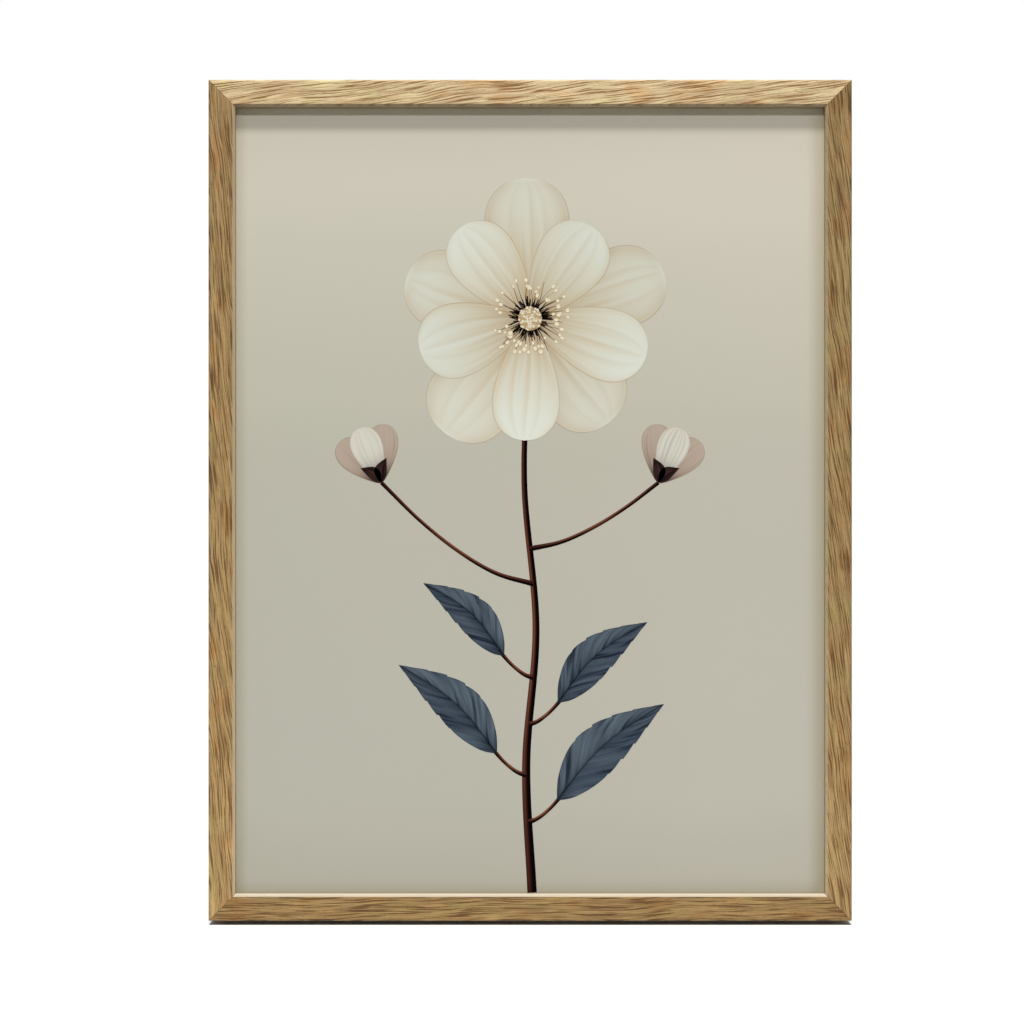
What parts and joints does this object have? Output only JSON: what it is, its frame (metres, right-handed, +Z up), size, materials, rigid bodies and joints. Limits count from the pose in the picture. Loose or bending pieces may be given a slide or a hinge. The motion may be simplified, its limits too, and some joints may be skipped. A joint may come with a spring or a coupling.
{
  "type": "floating frame",
  "caption": "Slim mitred oak picture frame whose botanical print floats clear of the wood on hidden risers, with turn buttons and D-rings on its back.",
  "frame": {"origin": "bottom centre: on the surface that the frame stands on, under the middle of its width and depth", "axes": "+Z up, +X to the right of someone looking at the picture, -Y the way the picture faces"},
  "size_m": [0.3288, 0.024, 0.4298],
  "materials": {
    "oak": "oiled open-grained oak, satin",
    "print_paper": "matt heavy art paper",
    "panel_board": "plain board",
    "riser_board": "plain board",
    "mount_paper": "matt mount board",
    "filler_board": "plain board",
    "hardboard": "pressed fibre, matt",
    "nail_steel": "bright strip",
    "button_steel": "zinc plated",
    "hanger_steel": "zinc plated",
    "screw_steel": "zinc plated",
    "bumper_rubber": "soft matt rubber"
  },
  "bodies": {
    "frame": {"top_rail": "oak", "bottom_rail": "oak", "left_stile": "oak", "right_stile": "oak", "art_print": "print_paper", "art_panel": "panel_board", "riser_top": "riser_board", "riser_bottom": "riser_board", "riser_left": "riser_board", "riser_right": "riser_board", "mount_board": "mount_paper", "filler_board": "filler_board", "backing_board": "hardboard", "corner_v_nails": "nail_steel", "hanger_strap_left": "hanger_steel", "hanger_strap_right": "hanger_steel", "turn_button_screws": "screw_steel", "hanger_screws": "screw_steel", "wall_bumpers": "bumper_rubber"},
    "turn_button_left_low": {"turn_button_left_low": "button_steel"},
    "turn_button_left_high": {"turn_button_left_high": "button_steel"},
    "turn_button_right_low": {"turn_button_right_low": "button_steel"},
    "turn_button_right_high": {"turn_button_right_high": "button_steel"},
    "turn_button_bottom": {"turn_button_bottom": "button_steel"},
    "turn_button_top": {"turn_button_top": "button_steel"},
    "hanger_ring_right": {"hanger_ring_right": "hanger_steel"},
    "hanger_ring_left": {"hanger_ring_left": "hanger_steel"}
  },
  "joints": [
    {"name": "turn_button_left_low_pivot", "type": "hinge", "parent": "frame", "child": "turn_button_left_low", "pos_m": [-0.1595, 0.0086, 0.1399], "axis": [0, 1, 0], "continuous": true},
    {"name": "turn_button_left_high_pivot", "type": "hinge", "parent": "frame", "child": "turn_button_left_high", "pos_m": [-0.1595, 0.0086, 0.2899], "axis": [0, 1, 0], "continuous": true},
    {"name": "turn_button_right_low_pivot", "type": "hinge", "parent": "frame", "child": "turn_button_right_low", "pos_m": [0.1595, 0.0086, 0.1399], "axis": [0, 1, 0], "continuous": true},
    {"name": "turn_button_right_high_pivot", "type": "hinge", "parent": "frame", "child": "turn_button_right_high", "pos_m": [0.1595, 0.0086, 0.2899], "axis": [0, 1, 0], "continuous": true},
    {"name": "turn_button_bottom_pivot", "type": "hinge", "parent": "frame", "child": "turn_button_bottom", "pos_m": [0, 0.0086, 0.0049], "axis": [0, 1, 0], "continuous": true},
    {"name": "turn_button_top_pivot", "type": "hinge", "parent": "frame", "child": "turn_button_top", "pos_m": [0, 0.0086, 0.4249], "axis": [0, 1, 0], "continuous": true},
    {"name": "hanger_ring_right_swing", "type": "hinge", "parent": "frame", "child": "hanger_ring_right", "pos_m": [0.158, 0.00968, 0.335], "axis": [1, 0, 0], "range_deg": [0, 183]},
    {"name": "hanger_ring_left_swing", "type": "hinge", "parent": "frame", "child": "hanger_ring_left", "pos_m": [-0.158, 0.00968, 0.335], "axis": [1, 0, 0], "range_deg": [0, 183]}
  ]
}
